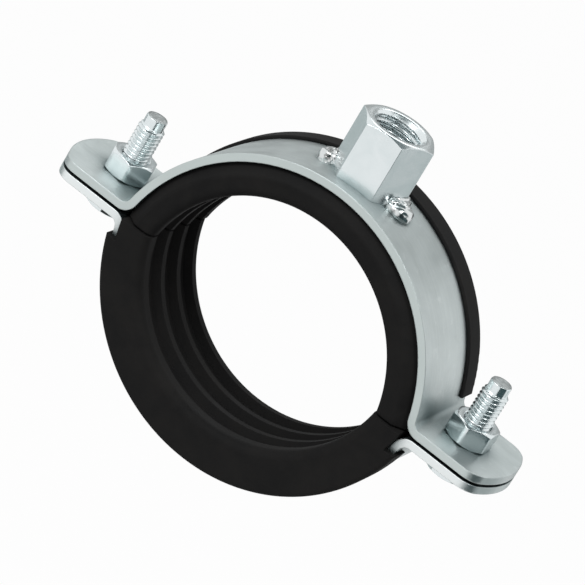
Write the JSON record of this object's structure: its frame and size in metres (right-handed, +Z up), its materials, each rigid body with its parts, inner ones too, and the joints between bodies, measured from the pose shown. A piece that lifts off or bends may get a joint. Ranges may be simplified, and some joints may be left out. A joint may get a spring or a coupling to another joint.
{
  "type": "rubber lined pipe clamp",
  "caption": "Two-part sheet steel pipe clamp with a black rubber lining, hexagon screws through its ears and a welded hexagonal threaded socket for a suspension rod.",
  "frame": {"origin": "centre of the pipe as the upper half seats it, midway across the strip", "axes": "+Y along the pipe, +Z up through the threaded socket, X out through the ears"},
  "size_m": [0.0978, 0.0232, 0.0695],
  "materials": {
    "zinc_strip": "blue-white zinc plated strip, satin",
    "zinc_hardware": "bright zinc plated fasteners",
    "weld_metal": "zinc plated weld bead, rough and shiny",
    "epdm": "black EPDM, matt"
  },
  "bodies": {
    "upper_half": {"upper_band": "zinc_strip", "threaded_socket": "zinc_hardware", "left_weld": "weld_metal", "right_weld": "weld_metal", "upper_lining": "epdm"},
    "lower_half": {"lower_band": "zinc_strip", "lower_lining": "epdm"},
    "left_bolt": {"left_screw": "zinc_hardware"},
    "right_bolt": {"right_screw": "zinc_hardware"},
    "left_lock": {"left_nut": "zinc_hardware"},
    "right_lock": {"right_nut": "zinc_hardware"}
  },
  "joints": [
    {"name": "band_opening", "type": "slide", "parent": "upper_half", "child": "lower_half", "axis": [0, 0, -1], "range_m": [0, 0.0086]},
    {"name": "left_screw_turn", "type": "hinge", "parent": "lower_half", "child": "left_bolt", "pos_m": [-0.0388, 0, 0.0025], "axis": [0, 0, 1], "continuous": true},
    {"name": "right_screw_turn", "type": "hinge", "parent": "lower_half", "child": "right_bolt", "pos_m": [0.0388, 0, 0.0025], "axis": [0, 0, 1], "continuous": true},
    {"name": "left_nut_turn", "type": "hinge", "parent": "upper_half", "child": "left_lock", "pos_m": [-0.0388, 0, 0.0061], "axis": [0, 0, 1], "range_deg": [0, 3875]},
    {"name": "right_nut_turn", "type": "hinge", "parent": "upper_half", "child": "right_lock", "pos_m": [0.0388, 0, 0.0061], "axis": [0, 0, 1], "range_deg": [0, 3875]}
  ],
  "couplings": [
    {"joint": "left_nut_turn", "follows": "band_opening", "rad_per_m": 7854},
    {"joint": "right_nut_turn", "follows": "band_opening", "rad_per_m": 7854}
  ]
}
